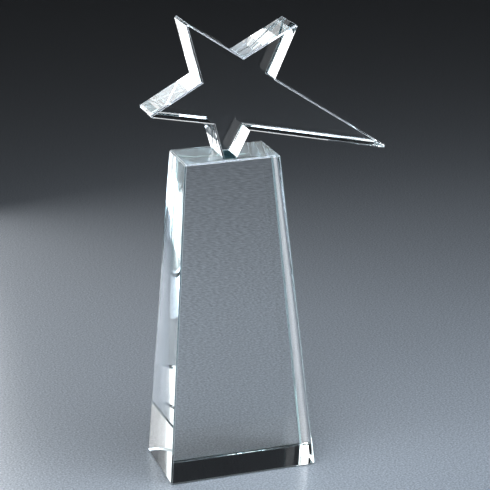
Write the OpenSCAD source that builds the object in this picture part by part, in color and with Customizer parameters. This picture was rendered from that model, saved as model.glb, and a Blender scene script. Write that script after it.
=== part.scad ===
// Star trophy: a tapered block of clear crystal with a thick five-pointed star bonded on top of it.
// Millimetres. +Z is up, the front looks towards -Y, and the star's long point reaches towards +X.
// The origin is the centre of the underside.

/* [Base] */
// Width of the base across its foot
base_w = 84; // [60:1:110]
// Depth of the base at its foot
base_d = 50; // [40:1:70]
// Height of the base
base_h = 180; // [120:1:240]
// Size of the base's top as a share of its foot
base_taper = 0.635; // [0.56:0.005:0.8]

/* [Star] */
// Distance from the star's middle to its ordinary points, before they are blunted
star_r = 50.5; // [48:0.5:56]
// Distance from the star's middle to its one long point, before it is blunted
long_r = 95; // [70:0.5:110]
// Thickness of the star, front to back
star_t = 24.5; // [12:0.5:25]
// Height of the star's middle above the base's top
star_rise = 34; // [31:0.5:36]
// Shift of the star's middle towards the long point
star_shift = 4.7; // [0:0.1:8]

/* [Polish and bond] */
// Width of the flat bevel ground on every outer edge
edge_bevel = 0.7; // [0.3:0.1:0.8]
// Width of the small flat that blunts each point of the star
tip_flat = 1.5; // [1.5:0.1:3]
// Thickness of the clear adhesive between the star and the base
bond_t = 0.2; // [0.1:0.05:0.4]

/* [Hidden] */

crystal = [0.86, 0.93, 0.95, 0.45];
adhesive = [0.92, 0.95, 0.92, 0.6];

foot_z = base_h + bond_t;
star_z = base_h + star_rise;

// The star's points and the valleys between them, each [direction, share of star_r],
// anticlockwise from the point at the upper left. The star is cut freehand, so no two are alike.
tips = [[188.4, 1], [261.6, 0.88], [336.4, long_r / star_r], [406.7, 1], [483.9, 1]];
valleys = [[226.3, 0.4], [287.9, 0.415], [379, 0.437], [441, 0.407], [516, 0.435]];

function along(polar) = star_r * polar[1] * [cos(polar[0]), sin(polar[0])];
function unit(v) = v / norm(v);
function inward(a, b) = let (d = unit(b - a)) [-d.y, d.x];

// Where the line through p along d meets the line through q along e
function crossing(p, d, q, e) = p + d * cross(q - p, e) / cross(d, e);

// The same outline with every side moved inwards by distance
function inset(outline, distance) = let (n = len(outline)) [
    for (i = [0 : n - 1])
        let (before = outline[(i + n - 1) % n], here = outline[i], after = outline[(i + 1) % n])
            crossing(
                before + distance * inward(before, here), here - before,
                here + distance * inward(here, after), after - here
            )
];

// The two corners left when a sharp point is ground back to a flat of tip_flat
function blunted(valley_a, tip, valley_b) = let (
    side_a = unit(valley_a - tip),
    side_b = unit(valley_b - tip),
    back = tip_flat / norm(side_a - side_b)
) [tip + back * side_a, tip + back * side_b];

star_outline = [
    for (i = [0 : len(tips) - 1])
        let (
            valley_a = along(valleys[(i + len(tips) - 1) % len(tips)]),
            valley_b = along(valleys[i]),
            flat = blunted(valley_a, along(tips[i]), valley_b)
        )
            each [flat[0], flat[1], valley_b]
];

// The star plate lying flat, with a bevel round both faces. Each face is its five points plus
// the pentagon between the valleys.
module star_plate() {
    n = len(star_outline);
    face = inset(star_outline, edge_bevel);
    layers = [[face, 0], [star_outline, edge_bevel], [star_outline, star_t - edge_bevel], [face, star_t]];
    walls = [
        for (k = [0 : len(layers) - 2])
            for (i = [0 : n - 1])
                [k * n + i, (k + 1) * n + i, (k + 1) * n + (i + 1) % n, k * n + (i + 1) % n]
    ];
    arms = [for (i = [0 : 3 : n - 1]) [(i + n - 1) % n, i, i + 1, i + 2]];
    pentagon = [for (i = [2 : 3 : n - 1]) i];
    lower_face = concat(arms, [pentagon]);
    top = n * (len(layers) - 1);
    upper_face = [for (piece = lower_face) [for (i = [len(piece) - 1 : -1 : 0]) top + piece[i]]];
    polyhedron(
        points = [for (layer = layers) for (p = layer[0]) [p.x, p.y, layer[1]]],
        faces = concat(walls, lower_face, upper_face)
    );
}

// A long upright wedge, foot_w wide at the bottom and top_w at the top, with its four long edges
// bevelled. It is turned about Z, and crossing wedges leave a tapered block.
module wedge(turn, foot_w, top_w) {
    slope = (foot_w - top_w) / 2 / base_h;
    half = [
        [foot_w / 2 - edge_bevel, 0],
        [foot_w / 2 - slope * edge_bevel, edge_bevel],
        [top_w / 2 + slope * edge_bevel, base_h - edge_bevel],
        [top_w / 2 - edge_bevel, base_h]
    ];
    mirrored = [for (i = [len(half) - 1 : -1 : 0]) [-half[i].x, half[i].y]];
    rotate([90, 0, turn])
        linear_extrude(height = 2 * (base_w + base_d), center = true)
            polygon(concat(half, mirrored));
}

// Four wedges cross: one gives the sides, one the front and back, and the two diagonals bevel the
// upright edges.
module base() {
    corner_foot = (base_w + base_d - 2 * edge_bevel) / sqrt(2);
    corner_top = ((base_w + base_d) * base_taper - 2 * edge_bevel) / sqrt(2);
    color(crystal)
        intersection() {
            wedge(0, base_w, base_w * base_taper);
            wedge(90, base_d, base_d * base_taper);
            wedge(45, corner_foot, corner_top);
            wedge(-45, corner_foot, corner_top);
        }
}

// The whole star, standing upright, before its lowest point is ground flat
module star_blank() {
    translate([star_shift, star_t / 2, star_z])
        rotate([90, 0, 0])
            star_plate();
}

// A level slab that takes in the star's lowest point and clears its two neighbours
module slab(low_z, high_z) {
    slab_w = 0.6 * star_r;
    translate([star_shift - slab_w / 2, -star_t, low_z])
        cube([slab_w, 2 * star_t, high_z - low_z]);
}

module star() {
    color(crystal)
        difference() {
            star_blank();
            slab(base_h - star_r, foot_z);
        }
}

// The adhesive fills the gap under the star's ground foot, flush with it all round
module bond_film() {
    color(adhesive)
        intersection() {
            star_blank();
            slab(base_h, foot_z);
        }
}

base();
star();
bond_film();
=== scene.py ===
"""A star trophy in clear crystal on a pale sweep: a tapered block, a thick star and the bond between."""
import math

import bmesh
import bpy
from mathutils import Matrix, Vector

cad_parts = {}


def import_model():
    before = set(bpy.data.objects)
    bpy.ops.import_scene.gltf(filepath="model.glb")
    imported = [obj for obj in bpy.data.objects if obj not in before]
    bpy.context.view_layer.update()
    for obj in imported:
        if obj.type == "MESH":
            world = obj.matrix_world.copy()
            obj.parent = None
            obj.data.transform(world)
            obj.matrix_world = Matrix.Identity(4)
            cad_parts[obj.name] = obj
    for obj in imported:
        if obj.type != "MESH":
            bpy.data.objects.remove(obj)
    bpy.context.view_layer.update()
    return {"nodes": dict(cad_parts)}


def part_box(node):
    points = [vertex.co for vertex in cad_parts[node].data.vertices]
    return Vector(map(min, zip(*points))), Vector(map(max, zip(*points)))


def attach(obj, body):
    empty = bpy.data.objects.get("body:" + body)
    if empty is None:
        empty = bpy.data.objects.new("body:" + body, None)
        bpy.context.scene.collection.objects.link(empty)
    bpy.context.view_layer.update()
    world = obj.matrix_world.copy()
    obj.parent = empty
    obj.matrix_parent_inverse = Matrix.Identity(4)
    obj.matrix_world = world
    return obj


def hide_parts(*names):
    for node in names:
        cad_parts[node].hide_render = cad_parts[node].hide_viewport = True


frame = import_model()
FILM_LOW, FILM_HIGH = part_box("bond_film")

# Lengths in metres
MM = 0.001
# Points closer than this are one point
WELD = 0.001 * MM
# The film's faces stand this far off the crystal's
BOND_GAP = 0.002 * MM
# A sharp edge is rounded by this much
ARRIS = 0.12 * MM
ARRIS_STEPS = 2
# A facet narrower than this is ground. The bevels' long flats are wider, so they stay polished.
FACET_WIDTH = 0.6 * MM
# The bond's footprint is first cut this far inside the base's top. That is more than the top's short
# corner sides can take, so thin crossed faces are left from each of them to the footprint.
PATCH_INSET = 2 * MM
# The air under the trophy
AIR_GAP = 0.2 * MM

# Angles in radians. Faces within FLAT of one plane are one face, and an edge that turns by more
# than SHARP is sharp.
FLAT = math.radians(0.2)
SHARP = math.radians(5)
# A face looks along an axis when its normal has more than this along it
ALONG = 0.5

# Material slots on each crystal piece
FACE, WALL, EDGE, BONDED = range(4)

# The camera's lens and sensor in millimetres. Azimuth 0 looks along +Y.
CAMERA_AT = Vector((-0.2998, -1.0080, 0.4829))
CAMERA_AZIMUTH = math.radians(-17.12)
CAMERA_ELEVATION = math.radians(18.7)
CAMERA_ROLL = math.radians(-0.98)
CAMERA_LENS = 148.6
CAMERA_SENSOR = 36
NEAREST = 0.01
FARTHEST = 50

# Most of a noise's values lie between these
NOISE_LOW = 0.3
NOISE_HIGH = 0.7

# Crystal. Densities are per metre.
CRYSTAL_IOR = 1.52
CRYSTAL_TINT = (0.2, 0.8, 0.85)
CRYSTAL_DENSITY = 0.4
SMEAR_DETAIL = 4
NO_BEND = 1.0

# Adhesive
ADHESIVE_TINT = (0.6, 0.75, 0.7)
ADHESIVE_DENSITY = 2
RIPPLE = 0.6 * MM
RIPPLE_DEPTH = 0.01 * MM
RIM_SMEAR = 1.5 * MM
RIM_ROUGHNESS = (0.03, 0.2)
RIM_DETAIL = 3

# Floor
FLOOR_DARK = (0.3, 0.32, 0.345)
FLOOR_LIGHT = (0.605, 0.63, 0.66)
FLOOR_GRAIN = 1.1 * MM
FLOOR_ROUGHNESS = 0.32
FLOOR_SHEEN = 1.0
FLOOR_TOOTH = 1.2 * MM
FLOOR_TOOTH_DEPTH = 0.08 * MM
FLOOR_DETAIL = 3
FLOOR_RADIUS = 2.4
SWEEP_RADIUS = 0.8
WALL_TOP = 3.2
AROUND = 96
SWEEP_STEPS = 12

# Studio
# Softboxes aim at STUDIO_CENTRE. The back panels stand BACK_Y behind the trophy, at BACK_Z.
STUDIO_CENTRE = Vector((0, 0, 0.12))
BACK_Y = 0.5
BACK_Z = 0.37
BACK_HEIGHT = 0.17
OVERHEAD_SIZE = 0.3
WHITE = (1, 1, 1)
KEY_COLOUR = (0.88, 0.98, 1.1)
FILL = 0.02
DEEPEST_BOUNCE = 32
CONTRAST = 0.75


def new_material(name):
    """A material, its node tree and its shader."""
    material = bpy.data.materials.new(name)
    material.use_nodes = True
    tree = material.node_tree
    return material, tree, tree.nodes["Principled BSDF"]


def noise(tree, size, detail=2):
    """Noise with features about size metres across, in the piece's own coordinates."""
    place = tree.nodes.new("ShaderNodeTexCoord")
    cloud = tree.nodes.new("ShaderNodeTexNoise")
    cloud.inputs["Scale"].default_value = 1 / size
    cloud.inputs["Detail"].default_value = detail
    tree.links.new(place.outputs["Object"], cloud.inputs["Vector"])
    return cloud.outputs["Fac"]


def spread(tree, value, low, high):
    """A noise, spread between two numbers."""
    remap = tree.nodes.new("ShaderNodeMapRange")
    remap.inputs["From Min"].default_value = NOISE_LOW
    remap.inputs["From Max"].default_value = NOISE_HIGH
    remap.inputs["To Min"].default_value = low
    remap.inputs["To Max"].default_value = high
    tree.links.new(value, remap.inputs["Value"])
    return remap.outputs["Result"]


def relief(tree, shader, height, depth):
    """Bump of a given depth in metres."""
    bump = tree.nodes.new("ShaderNodeBump")
    bump.inputs["Distance"].default_value = depth
    tree.links.new(height, bump.inputs["Height"])
    tree.links.new(bump.outputs["Normal"], shader.inputs["Normal"])


def clear(tree, shader, ior, tint, density):
    """Turns the shader into a clear solid that absorbs a little light."""
    shader.inputs["Base Color"].default_value = (1, 1, 1, 1)
    shader.inputs["Transmission Weight"].default_value = 1
    shader.inputs["IOR"].default_value = ior
    depth = tree.nodes.new("ShaderNodeVolumeAbsorption")
    depth.inputs["Color"].default_value = (*tint, 1)
    depth.inputs["Density"].default_value = density
    tree.links.new(depth.outputs["Volume"], tree.nodes["Material Output"].inputs["Volume"])


def crystal(name, wave, wave_depth, smear, roughness, frost=0):
    """Optical crystal: long waves in its surface, smears in its gloss and a share of white frost."""
    material, tree, shader = new_material(name)
    clear(tree, shader, CRYSTAL_IOR, CRYSTAL_TINT, CRYSTAL_DENSITY)
    shader.inputs["Transmission Weight"].default_value = 1 - frost
    relief(tree, shader, noise(tree, wave), wave_depth)
    tree.links.new(spread(tree, noise(tree, smear, SMEAR_DETAIL), *roughness), shader.inputs["Roughness"])
    return material


def bonded_crystal():
    """Crystal that has adhesive against it, so light passes straight on."""
    material, tree, shader = new_material("bonded_crystal")
    clear(tree, shader, NO_BEND, CRYSTAL_TINT, CRYSTAL_DENSITY)
    shader.inputs["Roughness"].default_value = 0
    return material


crystal_materials = [
    crystal("polished_face", wave=20 * MM, wave_depth=0.002 * MM, smear=14 * MM, roughness=(0, 0.01)),
    crystal("polished_wall", wave=9 * MM, wave_depth=0.003 * MM, smear=6 * MM, roughness=(0, 0.015)),
    crystal(
        "ground_edge", wave=1.2 * MM, wave_depth=0.01 * MM, smear=2 * MM, roughness=(0.3, 0.5), frost=0.7,
    ),
    bonded_crystal(),
]


def cad_surface(node):
    """A CAD node's surface, welded shut, with each flat face in one piece."""
    mesh = bmesh.new()
    mesh.from_mesh(frame["nodes"][node].data)
    bmesh.ops.remove_doubles(mesh, verts=mesh.verts, dist=WELD)
    bmesh.ops.dissolve_limit(mesh, angle_limit=FLAT, verts=mesh.verts, edges=mesh.edges)
    bmesh.ops.recalc_face_normals(mesh, faces=mesh.faces)
    return mesh


def is_level(face):
    """True for a face that looks straight up or down."""
    return abs(face.normal.z) > math.cos(FLAT)


def is_bonded(face):
    """True where a face lies on the adhesive."""
    middle = face.calc_center_median()
    across = all(FILM_LOW[i] < middle[i] < FILM_HIGH[i] for i in (0, 1))
    return across and is_level(face) and FILM_LOW.z - WELD < middle.z < FILM_HIGH.z + WELD


def is_small_facet(face):
    """True for a narrow facet: where bevels meet, or left by cut_bond_patch at the top's corners."""
    around = sum(edge.calc_length() for edge in face.edges)
    return 2 * face.calc_area() / around < FACET_WIDTH


def choose_materials(mesh, is_wall):
    """Gives each face its material slot. A bevel's long flat is polished like a face or a wall."""
    for face in mesh.faces:
        if is_bonded(face):
            face.material_index = BONDED
        elif is_small_facet(face):
            face.material_index = EDGE
        elif is_wall(face):
            face.material_index = WALL


def round_arrises(mesh):
    """Rounds every sharp edge a little and leaves it ground, but none at the bond."""
    sharp = [
        edge for edge in mesh.edges
        if edge.calc_face_angle() > SHARP and all(face.material_index != BONDED for face in edge.link_faces)
    ]
    bmesh.ops.bevel(
        mesh, geom=sharp, offset=ARRIS, segments=ARRIS_STEPS, profile=0.5, affect="EDGES", material=EDGE,
        clamp_overlap=True,
    )


def add_piece(mesh, name, materials):
    """Turns a bmesh into an object in the scene."""
    data = bpy.data.meshes.new(name)
    mesh.to_mesh(data)
    mesh.free()
    for material in materials:
        data.materials.append(material)
    piece = bpy.data.objects.new(name, data)
    bpy.context.scene.collection.objects.link(piece)
    return piece


def stand_for(piece, node):
    """Shows a piece in the place of a CAD node."""
    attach(piece, "root")
    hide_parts(node)


def bearing(point):
    """The direction of a point about the trophy's axis, on an outline squared up to the film's."""
    return math.atan2(point.y / FILM_HIGH.y, point.x / FILM_HIGH.x)


def cut_bond_patch(mesh):
    """Makes the adhesive's footprint a face of its own in the base's top."""
    film = cad_surface("bond_film")
    underside = min(film.faces, key=lambda face: face.calc_center_median().z)
    footprint = sorted((vert.co.copy() for vert in underside.verts), key=bearing)
    film.free()
    top = max(mesh.faces, key=lambda face: face.calc_center_median().z)
    bmesh.ops.inset_region(mesh, faces=[top], thickness=PATCH_INSET, use_boundary=True)
    corners = sorted(top.verts, key=lambda vert: bearing(vert.co))
    for vert, corner in zip(corners, footprint):
        vert.co.xy = corner.xy


def base_crystal():
    """The tapered block."""
    mesh = cad_surface("base")
    cut_bond_patch(mesh)
    choose_materials(mesh, lambda face: abs(face.normal.x) > ALONG or is_level(face))
    round_arrises(mesh)
    stand_for(add_piece(mesh, "base_crystal", crystal_materials), "base")


def star_crystal():
    """The thick star with its one long point."""
    mesh = cad_surface("star")
    choose_materials(mesh, lambda face: abs(face.normal.y) < ALONG)
    round_arrises(mesh)
    stand_for(add_piece(mesh, "star_crystal", crystal_materials), "star")


def adhesive_rim():
    """The film's edge, where the cured adhesive meets the air."""
    material, tree, shader = new_material("adhesive_rim")
    clear(tree, shader, CRYSTAL_IOR, ADHESIVE_TINT, ADHESIVE_DENSITY)
    relief(tree, shader, noise(tree, RIPPLE, RIM_DETAIL), RIPPLE_DEPTH)
    gloss = spread(tree, noise(tree, RIM_SMEAR, RIM_DETAIL), *RIM_ROUGHNESS)
    tree.links.new(gloss, shader.inputs["Roughness"])
    return material


def adhesive():
    """The cured film, a hair thinner than its gap."""
    mesh = cad_surface("bond_film")
    middle = (FILM_LOW.z + FILM_HIGH.z) / 2
    for face in mesh.faces:
        face.material_index = BONDED if is_bonded(face) else FACE
    for vert in mesh.verts:
        vert.co.z -= math.copysign(BOND_GAP, vert.co.z - middle)
    stand_for(add_piece(mesh, "adhesive", [adhesive_rim()] + crystal_materials[1:]), "bond_film")


def camera():
    """The camera at the photograph's viewing angle."""
    data = bpy.data.cameras.new("camera")
    data.lens = CAMERA_LENS
    data.sensor_width = CAMERA_SENSOR
    data.clip_start = NEAREST
    data.clip_end = FARTHEST
    shot = bpy.data.objects.new("camera", data)
    bpy.context.scene.collection.objects.link(shot)
    turn = Matrix.Rotation(CAMERA_AZIMUTH, 4, "Z")
    tilt = Matrix.Rotation(math.pi / 2 - CAMERA_ELEVATION, 4, "X")
    roll = Matrix.Rotation(CAMERA_ROLL, 4, "Z")
    shot.matrix_world = Matrix.Translation(CAMERA_AT) @ turn @ tilt @ roll
    bpy.context.scene.camera = shot


def floor_paper():
    """Pale satin paper with a mottled grain and a faint tooth."""
    material, tree, shader = new_material("floor_paper")
    mottle = tree.nodes.new("ShaderNodeMix")
    mottle.data_type = "RGBA"
    mottle.inputs["A"].default_value = (*FLOOR_DARK, 1)
    mottle.inputs["B"].default_value = (*FLOOR_LIGHT, 1)
    tree.links.new(spread(tree, noise(tree, FLOOR_GRAIN, FLOOR_DETAIL), 0, 1), mottle.inputs["Factor"])
    tree.links.new(mottle.outputs["Result"], shader.inputs["Base Color"])
    shader.inputs["Roughness"].default_value = FLOOR_ROUGHNESS
    shader.inputs["Specular IOR Level"].default_value = FLOOR_SHEEN
    relief(tree, shader, noise(tree, FLOOR_TOOTH, FLOOR_DETAIL), FLOOR_TOOTH_DEPTH)
    return material


def ring(mesh, radius, height):
    """A level ring of points."""
    turns = [2 * math.pi * step / AROUND for step in range(AROUND)]
    return [mesh.verts.new((radius * math.cos(turn), radius * math.sin(turn), height)) for turn in turns]


def floor():
    """The pale floor, which sweeps up into a wall all round."""
    mesh = bmesh.new()
    rings = [ring(mesh, FLOOR_RADIUS, 0)]
    mesh.faces.new(rings[0])
    for step in range(1, SWEEP_STEPS + 1):
        bend = math.pi / 2 * step / SWEEP_STEPS
        out = FLOOR_RADIUS + SWEEP_RADIUS * math.sin(bend)
        rings.append(ring(mesh, out, SWEEP_RADIUS * (1 - math.cos(bend))))
    rings.append(ring(mesh, FLOOR_RADIUS + SWEEP_RADIUS, WALL_TOP))
    for low, high in zip(rings, rings[1:]):
        for i in range(AROUND):
            mesh.faces.new((low[i - 1], low[i], high[i], high[i - 1]))
    for face in mesh.faces:
        face.smooth = len(face.verts) == 4
    sweep = add_piece(mesh, "floor", [floor_paper()])
    sweep.location.z = -AIR_GAP


def lamp(name, place, aim, width, height, radiance, colour=WHITE):
    """A soft panel lamp. Its radiance is its brightness when seen straight through the crystal."""
    data = bpy.data.lights.new(name, "AREA")
    data.shape = "RECTANGLE"
    data.size = width
    data.size_y = height
    data.color = colour
    data.energy = radiance * math.pi * width * height
    panel = bpy.data.objects.new(name, data)
    panel.location = place
    panel.rotation_euler = (aim - place).to_track_quat("-Z", "Y").to_euler()
    bpy.context.scene.collection.objects.link(panel)


def softbox(name, azimuths, elevations, distance, radiance):
    """A lamp that fills a window of directions round the trophy. Azimuth 0 is behind, 90 to the right."""
    turn = math.radians(sum(azimuths) / 2)
    rise = math.radians(sum(elevations) / 2)
    way = Vector((math.sin(turn) * math.cos(rise), math.cos(turn) * math.cos(rise), math.sin(rise)))
    width = 2 * distance * math.cos(rise) * math.tan(math.radians(azimuths[1] - azimuths[0]) / 2)
    height = 2 * distance * math.tan(math.radians(elevations[1] - elevations[0]) / 2)
    lamp(name, STUDIO_CENTRE + distance * way, STUDIO_CENTRE, width, height, radiance)


def overhead(name, place, radiance):
    """A square lamp that looks straight down."""
    below = Vector((place[0], place[1], 0))
    lamp(name, Vector(place), below, OVERHEAD_SIZE, OVERHEAD_SIZE, radiance, KEY_COLOUR)


def back_panel(name, x_low, x_high, radiance):
    """An upright lamp behind the trophy. The undersides of the star's points mirror it."""
    x = (x_low + x_high) / 2
    lamp(name, Vector((x, BACK_Y, BACK_Z)), Vector((x, 0, BACK_Z)), x_high - x_low, BACK_HEIGHT, radiance)


def lights():
    """The studio's lamps. The two cards make the satin floor shine towards the front."""
    overhead("key", place=(-0.02, -0.13, 0.5), radiance=5.8)
    overhead("right_top", place=(0.34, -0.26, 0.55), radiance=4.6)
    softbox("card_left", azimuths=(-60, -22), elevations=(-12, 32), distance=0.42, radiance=1.5)
    softbox("card_behind", azimuths=(-22, -6), elevations=(-10, 32), distance=0.48, radiance=2.6)
    back_panel("back_low", x_low=-0.08, x_high=0.02, radiance=1.2)
    back_panel("back", x_low=0.03, x_high=0.31, radiance=0.85)
    softbox("front", azimuths=(190, 240), elevations=(0, 40), distance=1.3, radiance=1.8)
    softbox("front_right", azimuths=(120, 180), elevations=(20, 38), distance=1.3, radiance=0.7)
    softbox("right", azimuths=(90, 130), elevations=(24, 48), distance=0.8, radiance=1.1)
    softbox("left", azimuths=(240, 275), elevations=(5, 36), distance=1.3, radiance=1.1)


def world():
    """A dim even fill."""
    sky = bpy.data.worlds.new("studio")
    sky.use_nodes = True
    sky.node_tree.nodes["Background"].inputs["Color"].default_value = (FILL, FILL, FILL, 1)
    bpy.context.scene.world = sky


def light_paths():
    """Lets light bounce often inside the crystal, and sets the picture's contrast."""
    scene = bpy.context.scene
    scene.cycles.max_bounces = DEEPEST_BOUNCE
    scene.cycles.glossy_bounces = DEEPEST_BOUNCE
    scene.cycles.transmission_bounces = DEEPEST_BOUNCE
    scene.view_settings.view_transform = "Standard"
    scene.view_settings.gamma = CONTRAST


base_crystal()
star_crystal()
adhesive()
camera()
floor()
lights()
world()
light_paths()
